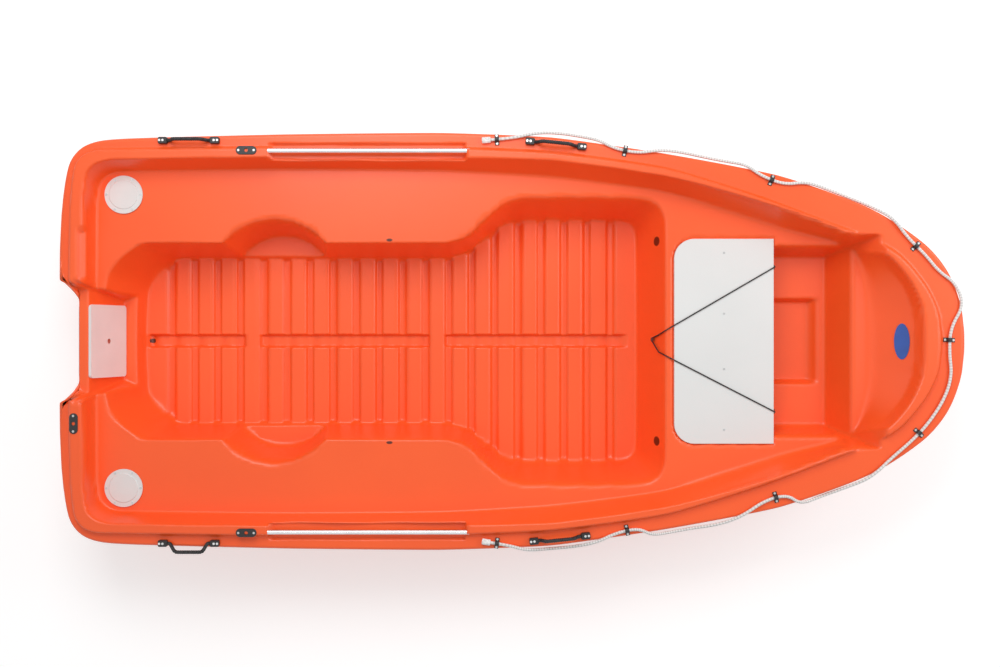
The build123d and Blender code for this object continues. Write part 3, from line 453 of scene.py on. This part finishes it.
def ring_place(top, drop_share, lean_share, spine_share):
    """Place below a point of the upper edge: down the leaning side, then in along the bottom to its spine."""
    spine = Vector((min(max(top.x, -SPINE_END), SPINE_END), 0, 0))
    inward = Vector((spine.x - top.x, spine.y - top.y, 0)).normalized()
    in_notch = abs(top.y) < LEAN_CHANGE and top.x < NOTCH_SHIFT_START
    lean = TRANSOM_RAKE if in_notch else SIDE_LEAN
    low = float(bottom_height(top.x, top.y * BOTTOM_SHARE))
    down = (top.z - low) * drop_share
    inset = lean * down * lean_share
    foot = top + inward * inset
    if not spine_share:
        return Vector((foot.x, foot.y, top.z - down))
    spot = foot.lerp(spine, spine_share)
    return Vector((spot.x, spot.y, float(bottom_height(spot.x, spot.y))))


def add_hull_mesh(columns, rows):
    """Closed mesh of the whole moulding: upper surface, sides and bottom."""
    mesh = bpy.data.meshes.new("hull_moulding")
    bm = bmesh.new()
    bmesh.ops.create_grid(bm, x_segments=columns, y_segments=rows, size=1.0)
    place = np.array([v.co[:] for v in bm.verts])
    x = hull_columns(columns)[np.rint((place[:, 0] + 1) / 2 * columns).astype(int)]
    share = hull_rows(rows)[np.rint((place[:, 1] + 1) / 2 * rows).astype(int)]
    outline = plan_curve(GUNWALE, 40)
    port = outline[outline[:, 1] > 0]
    port = port[np.argsort(port[:, 0])]
    y = share * np.interp(x, port[:, 0], port[:, 1])
    near_stern = np.clip((NOTCH_SHIFT_START - x) / NOTCH_SHIFT_RUN, 0, 1)
    x = x + (TRANSOM_TOP + HALF_LENGTH) * near_stern * (1 - ramp(np.abs(y) - NOTCH_EDGE, NOTCH_EDGE_WIDTH))
    z = top_height(x, y)
    edge_place = bm.verts.layers.float_vector.new("edge_place")
    for vert, cx, cy, cz in zip(bm.verts, x, y, z):
        vert.co = (cx, cy, cz)
        vert[edge_place] = vert.co
    rim = [edge for edge in bm.edges if edge.is_boundary]
    rings = [(down, lean, 0.0) for down, lean in SIDE_STEPS] + [(1.0, 1.0, share) for share in BOTTOM_STEPS]
    for drop_share, lean_share, spine_share in rings:
        grown = bmesh.ops.extrude_edge_only(bm, edges=rim)["geom"]
        rim = [item for item in grown if isinstance(item, bmesh.types.BMEdge)]
        for vert in (item for item in grown if isinstance(item, bmesh.types.BMVert)):
            vert.co = ring_place(Vector(vert[edge_place]), drop_share, lean_share, spine_share)
    bmesh.ops.remove_doubles(bm, verts=bm.verts, dist=WELD)
    bmesh.ops.dissolve_degenerate(bm, edges=bm.edges, dist=WELD / 4)
    holes = [edge for edge in bm.edges if edge.is_boundary]
    if holes:
        bmesh.ops.holes_fill(bm, edges=holes)
    bmesh.ops.recalc_face_normals(bm, faces=bm.faces)
    for face in bm.faces:
        face.smooth = True
    bm.verts.layers.float_vector.remove(bm.verts.layers.float_vector["edge_place"])
    bm.to_mesh(mesh)
    bm.free()
    return mesh


def linked_object(name, data):
    """New object at the origin, in the scene."""
    piece = bpy.data.objects.new(name, data)
    bpy.context.scene.collection.objects.link(piece)
    return piece


def swept_tube(bm, path, radii, sides=20):
    """Closed tube along points, with a radius at each, grown ring by ring."""
    ahead = (path[1] - path[0]).normalized()
    turn = ahead.to_track_quat("Z", "Y").to_matrix().to_4x4()
    start = bmesh.ops.create_circle(bm, cap_ends=True, segments=sides, radius=radii[0],
                                    matrix=Matrix.Translation(path[0]) @ turn)
    face = start["verts"][0].link_faces[0]
    for index in range(1, len(path)):
        here = path[index]
        before = path[index - 1]
        after = path[min(index + 1, len(path) - 1)]
        old_ahead = ahead
        ahead = (after - before).normalized()
        grown = bmesh.ops.extrude_face_region(bm, geom=[face])["geom"]
        face = next(item for item in grown if isinstance(item, bmesh.types.BMFace))
        verts = [item for item in grown if isinstance(item, bmesh.types.BMVert)]
        bend = old_ahead.rotation_difference(ahead).to_matrix()
        scale = radii[index] / radii[index - 1]
        for vert in verts:
            vert.co = here + bend @ ((vert.co - before) * scale)


def rounded_path(corners, radii, step=0.002):
    """Points along straight runs with rounded corners, about a step apart."""
    points = [corners[0]]
    for before, here, after, radius in zip(corners, corners[1:], corners[2:], radii):
        into, out = (before - here).normalized(), (after - here).normalized()
        half_angle = into.angle(out) / 2
        cut = radius / tan(half_angle)
        middle = here + (into + out).normalized() * (radius / sin(half_angle))
        start, end = here + into * cut - middle, here + out * cut - middle
        sweep = start.angle(end)
        for part in range(7):
            share = part / 6
            points.append(middle + (start * sin((1 - share) * sweep) + end * sin(share * sweep)) / sin(sweep))
    points.append(corners[-1])
    path = [points[0]]
    for here, after in zip(points, points[1:]):
        pieces = max(1, round((after - here).length / step))
        path.extend(here.lerp(after, part / pieces) for part in range(1, pieces + 1))
    return path


def node_group(name, outputs):
    """Empty shader node group with a Vector and a Scale input and the values that it puts out."""
    group = bpy.data.node_groups.new(name, "ShaderNodeTree")
    group.interface.new_socket("Vector", in_out="INPUT", socket_type="NodeSocketVector")
    group.interface.new_socket("Scale", in_out="INPUT", socket_type="NodeSocketFloat")
    for label in outputs:
        group.interface.new_socket(label, in_out="OUTPUT", socket_type="NodeSocketFloat")
    into = group.nodes.new("NodeGroupInput")
    out = group.nodes.new("NodeGroupOutput")
    return group, into, out


def mottle_group():
    """Soft patches and fine grain of moulded plastic, as two values between 0 and 1."""
    existing = bpy.data.node_groups.get("moulded_mottle")
    if existing:
        return existing
    group, into, out = node_group("moulded_mottle", ["Patches", "Grain"])
    links = group.links
    patches = group.nodes.new("ShaderNodeTexNoise")
    patches.inputs["Detail"].default_value = 3.0
    grain = group.nodes.new("ShaderNodeTexNoise")
    grain.inputs["Detail"].default_value = 2.0
    finer = group.nodes.new("ShaderNodeMath")
    finer.operation = "MULTIPLY"
    finer.inputs[1].default_value = 90.0
    links.new(into.outputs["Vector"], patches.inputs["Vector"])
    links.new(into.outputs["Vector"], grain.inputs["Vector"])
    links.new(into.outputs["Scale"], patches.inputs["Scale"])
    links.new(into.outputs["Scale"], finer.inputs[0])
    links.new(finer.outputs[0], grain.inputs["Scale"])
    links.new(patches.outputs[0], out.inputs["Patches"])
    links.new(grain.outputs[0], out.inputs["Grain"])
    return group


def scaled(colour, factor):
    """Colour made lighter or darker, as four numbers."""
    return (*[min(1.0, max(0.0, part * factor)) for part in colour], 1.0)


def finish(name, colour, roughness, patch_scale, variation, bump, metallic=0.0, hole_shade_spots=()):
    """Moulded or metal finish with soft patches of colour, fine grain and, where given, painted shade at
    holes.
    """
    material = bpy.data.materials.new(name)
    material.use_nodes = True
    nodes, links = material.node_tree.nodes, material.node_tree.links
    shader = nodes["Principled BSDF"]
    shader.inputs["Metallic"].default_value = metallic
    place = nodes.new("ShaderNodeTexCoord")
    mottle = nodes.new("ShaderNodeGroup")
    mottle.node_tree = mottle_group()
    mottle.inputs["Scale"].default_value = patch_scale
    links.new(place.outputs["Object"], mottle.inputs["Vector"])
    tint = nodes.new("ShaderNodeValToRGB")
    tint.color_ramp.elements[0].position = 0.3
    tint.color_ramp.elements[0].color = scaled(colour, 1 - variation)
    tint.color_ramp.elements[1].position = 0.7
    tint.color_ramp.elements[1].color = scaled(colour, 1 + variation)
    links.new(mottle.outputs["Patches"], tint.inputs[0])
    base = tint.outputs[0]
    # Painted shade: a near-black patch blended into the colour where the inside of a hole lies in shade.
    for centre, size in hole_shade_spots:
        shift = nodes.new("ShaderNodeMapping")
        shift.inputs["Location"].default_value = [-c / s for c, s in zip(centre, size)]
        shift.inputs["Scale"].default_value = [1 / s for s in size]
        far = nodes.new("ShaderNodeVectorMath")
        far.operation = "LENGTH"
        edge = nodes.new("ShaderNodeMapRange")
        edge.inputs["From Min"].default_value = 1.12
        edge.inputs["From Max"].default_value = 0.88
        mix = nodes.new("ShaderNodeMix")
        mix.data_type = "RGBA"
        mix.inputs["B"].default_value = scaled(colour, 0.10)
        links.new(place.outputs["Object"], shift.inputs["Vector"])
        links.new(shift.outputs[0], far.inputs[0])
        links.new(far.outputs["Value"], edge.inputs["Value"])
        links.new(edge.outputs[0], mix.inputs["Factor"])
        links.new(base, mix.inputs["A"])
        base = mix.outputs["Result"]
    links.new(base, shader.inputs["Base Color"])
    gloss = nodes.new("ShaderNodeMapRange")
    gloss.inputs["To Min"].default_value = roughness - 0.06
    gloss.inputs["To Max"].default_value = roughness + 0.06
    links.new(mottle.outputs["Patches"], gloss.inputs["Value"])
    links.new(gloss.outputs[0], shader.inputs["Roughness"])
    relief = nodes.new("ShaderNodeBump")
    relief.inputs["Strength"].default_value = 0.5
    relief.inputs["Distance"].default_value = bump
    links.new(mottle.outputs["Grain"], relief.inputs["Height"])
    links.new(relief.outputs[0], shader.inputs["Normal"])
    return material


def steel(name, tone, roughness):
    """Bright finish of the small screws."""
    return finish(name, (tone, tone, tone), roughness, 60.0, 0.1, 0.0001, metallic=1.0)


def rope_finish(colour, turns):
    """Braided rope: two diagonal waves over the cord's own length and girth, with painted shade in the
    grooves between strands.
    """
    material = bpy.data.materials.new("braided_rope")
    material.use_nodes = True
    nodes, links = material.node_tree.nodes, material.node_tree.links
    shader = nodes["Principled BSDF"]
    shader.inputs["Roughness"].default_value = 0.75
    place = nodes.new("ShaderNodeTexCoord")
    split = nodes.new("ShaderNodeSeparateXYZ")
    links.new(place.outputs["UV"], split.inputs[0])
    waves = []
    for sign in (-1, 1):
        along = nodes.new("ShaderNodeMath")
        along.operation = "MULTIPLY"
        along.inputs[1].default_value = turns
        links.new(split.outputs["X"], along.inputs[0])
        around = nodes.new("ShaderNodeMath")
        around.operation = "MULTIPLY"
        around.inputs[1].default_value = BRAID_STRANDS * sign
        links.new(split.outputs["Y"], around.inputs[0])
        both = nodes.new("ShaderNodeMath")
        links.new(along.outputs[0], both.inputs[0])
        links.new(around.outputs[0], both.inputs[1])
        turned = nodes.new("ShaderNodeMath")
        turned.operation = "MULTIPLY"
        turned.inputs[1].default_value = 2 * pi
        links.new(both.outputs[0], turned.inputs[0])
        wave = nodes.new("ShaderNodeMath")
        wave.operation = "SINE"
        links.new(turned.outputs[0], wave.inputs[0])
        waves.append(wave)
    strands = nodes.new("ShaderNodeMath")
    strands.operation = "MULTIPLY"
    links.new(waves[0].outputs[0], strands.inputs[0])
    links.new(waves[1].outputs[0], strands.inputs[1])
    # Painted shade: the colour darkens where the strand waves dip, in the grooves between strands.
    tint = nodes.new("ShaderNodeValToRGB")
    tint.color_ramp.elements[0].position = 0.0
    tint.color_ramp.elements[0].color = scaled(colour, 0.62)
    tint.color_ramp.elements[1].position = 0.6
    tint.color_ramp.elements[1].color = scaled(colour, 1.05)
    lift = nodes.new("ShaderNodeMapRange")
    lift.inputs["From Min"].default_value = -1.0
    links.new(strands.outputs[0], lift.inputs["Value"])
    links.new(lift.outputs[0], tint.inputs[0])
    links.new(tint.outputs[0], shader.inputs["Base Color"])
    relief = nodes.new("ShaderNodeBump")
    relief.inputs["Distance"].default_value = 0.0015
    links.new(lift.outputs[0], relief.inputs["Height"])
    links.new(relief.outputs[0], shader.inputs["Normal"])
    return material


class BOAT_OT_hull(bpy.types.Operator):
    """Build the smooth moulded hull in place of the frame's hull"""
    bl_idname = "boat.hull"
    bl_label = "Hull"

    def execute(self, context):
        settings = context.scene.boat_hull
        piece = linked_object("hull_moulding", add_hull_mesh(settings.columns, settings.rows))
        # The hull's finish carries painted shade at its conduits, bench slots and drain.
        piece.data.materials.append(finish("moulded_orange", settings.colour, settings.roughness, 2.2, 0.05,
                                            0.0006, hole_shade_spots=PAINTED_HOLE_SHADE))
        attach(piece, "boat")
        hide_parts("hull")
        return {"FINISHED"}


class BOAT_OT_handles(bpy.types.Operator):
    """Build the ribbed grips of the four carrying handles"""
    bl_idname = "boat.handles"
    bl_label = "Carrying handles"

    def execute(self, context):
        settings = context.scene.boat_fittings
        rubber = finish("grip_rubber", settings.black, 0.55, 20.0, 0.2, 0.0002)
        for name, (x, y, heading, lean) in HANDLES.items():
            half = HANDLE_HALF_SPAN
            runs = ((HANDLE_PLAY, 0.0), (HANDLE_RUN_IN, 0.0), (HANDLE_SHOULDER, HANDLE_RISE))
            corners = [Vector((along - half, 0, rise)) for along, rise in runs]
            corners += [Vector((half - along, 0, rise)) for along, rise in reversed(runs)]
            path = rounded_path(corners, HANDLE_BENDS)
            run = 0.0
            radii = [settings.grip_radius - settings.rib_depth]
            for before, here in zip(path, path[1:]):
                run += (here - before).length
                ribbed = abs(here.x) < half - HANDLE_SHOULDER + RIB_LAP
                wave = 0.5 + 0.5 * cos(2 * pi * run / RIB_PITCH) if ribbed else PLAIN_SHARE
                radii.append(settings.grip_radius - settings.rib_depth * (1 - wave))
            mesh = bpy.data.meshes.new(f"ribbed_grip_{name}")
            bm = bmesh.new()
            swept_tube(bm, path, radii)
            pitch = float(sheer(np.array(x + 0.05)) - sheer(np.array(x - 0.05))) / 0.10
            seat = Vector((x, y, BAND + float(sheer(np.array(x)))))
            swing = Matrix.Rotation(radians(-lean if y > 0 else lean), 4, "X")
            turn = Matrix.Rotation(-pitch, 4, "Y") @ Matrix.Rotation(radians(heading), 4, "Z")
            move = Matrix.Translation(seat) @ turn @ Matrix.Translation((0, 0, HANDLE_AXIS)) @ swing
            bmesh.ops.transform(bm, matrix=move, verts=bm.verts)
            bmesh.ops.recalc_face_normals(bm, faces=bm.faces)
            for face in bm.faces:
                face.smooth = True
            bm.to_mesh(mesh)
            bm.free()
            piece = linked_object(f"ribbed_grip_{name}", mesh)
            piece.data.materials.append(rubber)
            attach(piece, f"grip_{name}")
            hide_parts(f"handle_grip_{name}")
        return {"FINISHED"}


class BOAT_OT_lifeline(bpy.types.Operator):
    """Build the braided lifeline round the bow"""
    bl_idname = "boat.lifeline"
    bl_label = "Lifeline"

    def execute(self, context):
        settings = context.scene.boat_fittings
        curve = bpy.data.curves.new("braided_lifeline", "CURVE")
        curve.dimensions = "3D"
        curve.bevel_depth = settings.rope_radius
        curve.bevel_resolution = 4
        curve.resolution_u = 8
        curve.use_fill_caps = True
        spline = curve.splines.new("NURBS")
        spline.points.add(len(ROPE_ROUTE) - 1)
        for point, (x, y, z) in zip(spline.points, ROPE_ROUTE):
            point.co = (x, y, z, 1.0)
        spline.order_u = 3
        spline.use_endpoint_u = True
        piece = linked_object("braided_lifeline", curve)
        curve.materials.append(rope_finish(settings.rope, ROPE_LENGTH / BRAID_PITCH))
        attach(piece, "boat")
        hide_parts("lifeline")
        return {"FINISHED"}


class BOAT_OT_finishes(bpy.types.Operator):
    """Give every fitting of the frame its finish"""
    bl_idname = "boat.finishes"
    bl_label = "Finishes of the fittings"

    def execute(self, context):
        settings = context.scene.boat_fittings
        finishes = {
            "lid_batten": finish("batten_wood", (0.30, 0.17, 0.08), 0.6, 9.0, 0.25, 0.0004),
            "lid_screws": steel("screw_steel", 0.55, 0.32),
            "lid": finish("lid_white", settings.white, 0.45, 3.0, 0.02, 0.0004),
            "hatch_gasket": finish("gasket_rubber", (0.03, 0.03, 0.03), 0.7, 30.0, 0.2, 0.0002),
            "hatch_cover": finish("hatch_white", settings.white, 0.35, 12.0, 0.02, 0.0002),
            "transom_pad": finish("pad_white", (0.82, 0.79, 0.78), 0.5, 8.0, 0.03, 0.0003),
            "rail": finish("stainless_tube", (0.66, 0.66, 0.67), 0.22, 14.0, 0.06, 0.00008, metallic=1.0),
            "socket_screws": steel("socket_screw_steel", 0.5, 0.32),
            "socket": finish("socket_black", settings.black, 0.4, 25.0, 0.2, 0.0003),
            "handle_screws": steel("handle_screw_steel", 0.7, 0.3),
            "handle": finish("cap_black", settings.black, 0.42, 25.0, 0.2, 0.0003),
            "clip_screws": steel("clip_screw_steel", 0.5, 0.32),
            "rope_clip": finish("clip_black", settings.black, 0.45, 30.0, 0.2, 0.0003),
            "hatch_screws": steel("hatch_screw_steel", 0.6, 0.3),
            "pad": finish("bolt_steel", (0.5, 0.5, 0.5), 0.35, 50.0, 0.1, 0.0001, metallic=1.0),
            "knot": finish("knot_rope", settings.rope, 0.8, 140.0, 0.25, 0.0012),
            "bungee_anchors": finish("anchor_black", settings.black, 0.5, 25.0, 0.2, 0.0003),
            "bungee_peg": finish("peg_dark", (0.05, 0.05, 0.05), 0.4, 40.0, 0.2, 0.0002),
            "bungee": finish("elastic_black", settings.black, 0.7, 220.0, 0.4, 0.0004),
            "drain": finish("drain_black", settings.black, 0.5, 25.0, 0.2, 0.0003),
            "badge": finish("badge_blue", settings.badge, 0.3, 20.0, 0.08, 0.0001),
        }
        for name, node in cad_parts.items():
            if name == "hull" or name == "lifeline" or name.startswith("handle_grip"):
                continue
            prefix = max((key for key in finishes if name.startswith(key)), key=len, default=None)
            if prefix is None:
                raise RuntimeError(f"no finish for {name}")
            if not node.material_slots:
                node.data.materials.append(finishes[prefix])
            for slot in node.material_slots:
                slot.material = finishes[prefix]
        return {"FINISHED"}


class BOAT_OT_stage(bpy.types.Operator):
    """Set the floor, the light and the camera"""
    bl_idname = "boat.stage"
    bl_label = "Stage"

    def execute(self, context):
        settings = context.scene.boat_stage
        mesh = bpy.data.meshes.new("floor")
        bm = bmesh.new()
        bmesh.ops.create_grid(bm, x_segments=1, y_segments=1, size=14.0)
        bmesh.ops.translate(bm, verts=bm.verts, vec=(0, 0, -0.002))
        bm.to_mesh(mesh)
        bm.free()
        floor = linked_object("floor", mesh)
        material = bpy.data.materials.new("floor_white")
        material.use_nodes = True
        nodes, links = material.node_tree.nodes, material.node_tree.links
        shader = nodes["Principled BSDF"]
        shader.inputs["Base Color"].default_value = (0.8, 0.8, 0.8, 1)
        shader.inputs["Roughness"].default_value = 0.9
        shader.inputs["Emission Color"].default_value = (1, 1, 1, 1)
        seen = self.seen_rays(nodes, links)
        glow = nodes.new("ShaderNodeMath")
        glow.operation = "MULTIPLY"
        glow.inputs[1].default_value = 0.42
        links.new(seen, glow.inputs[0])
        links.new(glow.outputs[0], shader.inputs["Emission Strength"])
        floor.data.materials.append(material)
        self.light_world(context)
        self.add_lamp(context, "overhead", (-0.8, 2.4, 4.0), 2.4, settings.lamp_power)
        self.add_lamp(context, "bow_side", (3.4, 1.0, 3.0), 2.0, settings.lamp_power * 0.5)
        camera_data = bpy.data.cameras.new("camera")
        camera_data.lens = settings.lens
        camera_data.sensor_width = 36.0
        camera = bpy.data.objects.new("camera", camera_data)
        camera.location = (-0.029, 0.031, settings.camera_height)
        context.scene.collection.objects.link(camera)
        context.scene.camera = camera
        context.scene.view_settings.view_transform = "Standard"
        return {"FINISHED"}

    def seen_rays(self, nodes, links):
        """1 for rays that show the background: straight, in gloss and through clear pieces."""
        path = nodes.new("ShaderNodeLightPath")
        total = path.outputs["Is Camera Ray"]
        for label in ("Is Glossy Ray", "Is Transmission Ray"):
            both = nodes.new("ShaderNodeMath")
            both.operation = "MAXIMUM"
            links.new(total, both.inputs[0])
            links.new(path.outputs[label], both.inputs[1])
            total = both.outputs[0]
        return total

    def light_world(self, context):
        """Even soft light from all round, white where it is seen."""
        world = bpy.data.worlds.new("studio")
        context.scene.world = world
        world.use_nodes = True
        nodes, links = world.node_tree.nodes, world.node_tree.links
        background = nodes["Background"]
        background.inputs["Color"].default_value = (1, 1, 1, 1)
        level = nodes.new("ShaderNodeMapRange")
        level.inputs["To Min"].default_value = 0.50
        level.inputs["To Max"].default_value = 1.0
        links.new(self.seen_rays(nodes, links), level.inputs["Value"])
        links.new(level.outputs[0], background.inputs["Strength"])

    def add_lamp(self, context, name, place, size, power):
        """Soft square lamp that faces the middle of the boat."""
        lamp_data = bpy.data.lights.new(name, "AREA")
        lamp_data.size = size
        lamp_data.energy = power
        lamp = bpy.data.objects.new(name, lamp_data)
        lamp.location = place
        lamp.rotation_euler = (Vector((0, 0, 0.3)) - Vector(place)).to_track_quat("-Z", "Y").to_euler()
        context.scene.collection.objects.link(lamp)


class BOAT_PT_panel(bpy.types.Panel):
    """Buttons for every group of pieces"""
    bl_idname = "BOAT_PT_panel"
    bl_label = "Rotomoulded boat"
    bl_space_type = "VIEW_3D"
    bl_region_type = "UI"
    bl_category = "Boat"

    def draw(self, context):
        for operator in OPERATORS:
            self.layout.operator(operator.bl_idname)
        for group in (context.scene.boat_hull, context.scene.boat_fittings, context.scene.boat_stage):
            for name in group.bl_rna.properties.keys():
                if name not in ("rna_type", "name"):
                    self.layout.prop(group, name)


SETTINGS = {"boat_hull": BoatHullSettings, "boat_fittings": BoatFittingSettings,
            "boat_stage": BoatStageSettings}
OPERATORS = (BOAT_OT_hull, BOAT_OT_handles, BOAT_OT_lifeline, BOAT_OT_finishes, BOAT_OT_stage)


def register():
    """Register the classes and hang the settings on the scene."""
    for cls in (*SETTINGS.values(), *OPERATORS, BOAT_PT_panel):
        bpy.utils.register_class(cls)
    for name, group in SETTINGS.items():
        setattr(bpy.types.Scene, name, bpy.props.PointerProperty(type=group))


def unregister():
    """Take the settings and the classes away again."""
    for name in SETTINGS:
        delattr(bpy.types.Scene, name)
    for cls in reversed((*SETTINGS.values(), *OPERATORS, BOAT_PT_panel)):
        bpy.utils.unregister_class(cls)


def main():
    """Build everything in order."""
    register()
    bpy.ops.boat.hull()
    bpy.ops.boat.handles()
    bpy.ops.boat.lifeline()
    bpy.ops.boat.finishes()
    bpy.ops.boat.stage()


if __name__ == "__main__":
    main()
